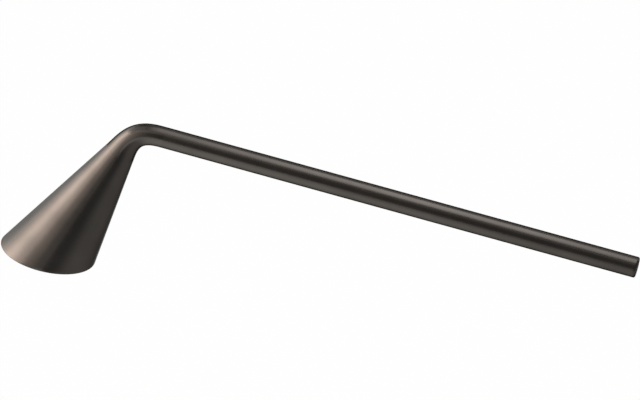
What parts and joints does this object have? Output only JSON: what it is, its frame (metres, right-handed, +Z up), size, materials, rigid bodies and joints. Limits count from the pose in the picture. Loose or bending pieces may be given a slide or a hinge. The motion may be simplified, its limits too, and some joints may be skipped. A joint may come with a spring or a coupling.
{
  "type": "candle snuffer",
  "caption": "Candle snuffer with a leaning hollow cone bell that curves through a tight tapered elbow into a long straight round handle, in dark bronzed metal.",
  "frame": {"origin": "centre of the bell's mouth, on the plane of its rim", "axes": "+X along the handle, from the bell to the free end; +Z up, out of the mouth plane into the bell; the XZ plane is the plane of symmetry"},
  "size_m": [0.2366, 0.0342, 0.0638],
  "materials": {
    "bell": "dark bronze patina, satin polish",
    "elbow": "dark bronze patina, satin polish",
    "handle": "dark bronze patina, satin polish",
    "plug": "dark bronze patina, satin polish",
    "solder": "silver solder, as flowed"
  },
  "bodies": {
    "root": {"bell_cone": "bell", "neck_elbow": "elbow", "handle_tube": "handle", "end_plug": "plug", "bell_solder_ring": "solder", "tube_solder_rings": "solder"}
  },
  "joints": []
}
